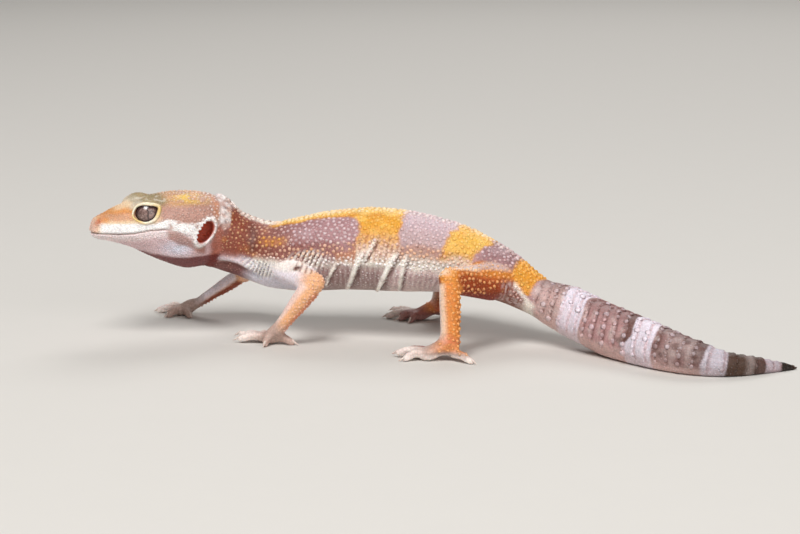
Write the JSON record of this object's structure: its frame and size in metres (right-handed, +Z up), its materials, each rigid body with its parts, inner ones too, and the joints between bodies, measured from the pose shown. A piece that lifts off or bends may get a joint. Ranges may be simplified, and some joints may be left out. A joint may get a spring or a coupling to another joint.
{
  "type": "leopard gecko",
  "caption": "Still, life-size young leopard gecko standing in mid-step, head turned slightly left, thick banded tail resting on the ground in a shallow curve.",
  "frame": {"origin": "middle of the bounding box, at the level that the feet and the tail rest on", "axes": "+Z up, the head points towards -X and the tail towards +X, the animal's left side faces -Y"},
  "size_m": [0.128, 0.0626, 0.0273],
  "materials": {
    "skin_head": "finely scaled skin, orange and cream, satin",
    "skin_jaw": "finely scaled skin, pinkish white, satin",
    "skin_trunk": "skin with raised domed scales, lavender with yellow bands, satin",
    "skin_tail": "ringed skin with raised scales, mauve with white bands, satin",
    "skin_arm": "scaled skin, peach, satin",
    "skin_leg": "skin with raised scales, orange, satin",
    "skin_foot": "smooth fine skin, pinkish white, satin",
    "claw": "pale translucent horn",
    "eye": "wet, clear cornea over a marbled grey-mauve iris"
  },
  "bodies": {
    "root": {"head": "skin_head", "lower_jaw": "skin_jaw", "eye_left": "eye", "eye_right": "eye", "neck": "skin_trunk", "trunk": "skin_trunk", "tail_base": "skin_tail", "tail_middle": "skin_tail", "tail_tip": "skin_tail", "foot_left": "skin_foot", "foot_right": "skin_foot", "forearm_left": "skin_arm", "forearm_right": "skin_arm", "hand_left": "skin_foot", "hand_right": "skin_foot", "shank_left": "skin_leg", "shank_right": "skin_leg", "thigh_left": "skin_leg", "thigh_right": "skin_leg", "upper_arm_left": "skin_arm", "upper_arm_right": "skin_arm", "claw_foot_left_1": "claw", "claw_foot_left_2": "claw", "claw_foot_left_3": "claw", "claw_foot_left_4": "claw", "claw_foot_left_5": "claw", "claw_foot_right_1": "claw", "claw_foot_right_2": "claw", "claw_foot_right_3": "claw", "claw_foot_right_4": "claw", "claw_foot_right_5": "claw", "claw_hand_left_1": "claw", "claw_hand_left_2": "claw", "claw_hand_left_3": "claw", "claw_hand_left_4": "claw", "claw_hand_left_5": "claw", "claw_hand_right_1": "claw", "claw_hand_right_2": "claw", "claw_hand_right_3": "claw", "claw_hand_right_4": "claw", "claw_hand_right_5": "claw"}
  },
  "joints": []
}
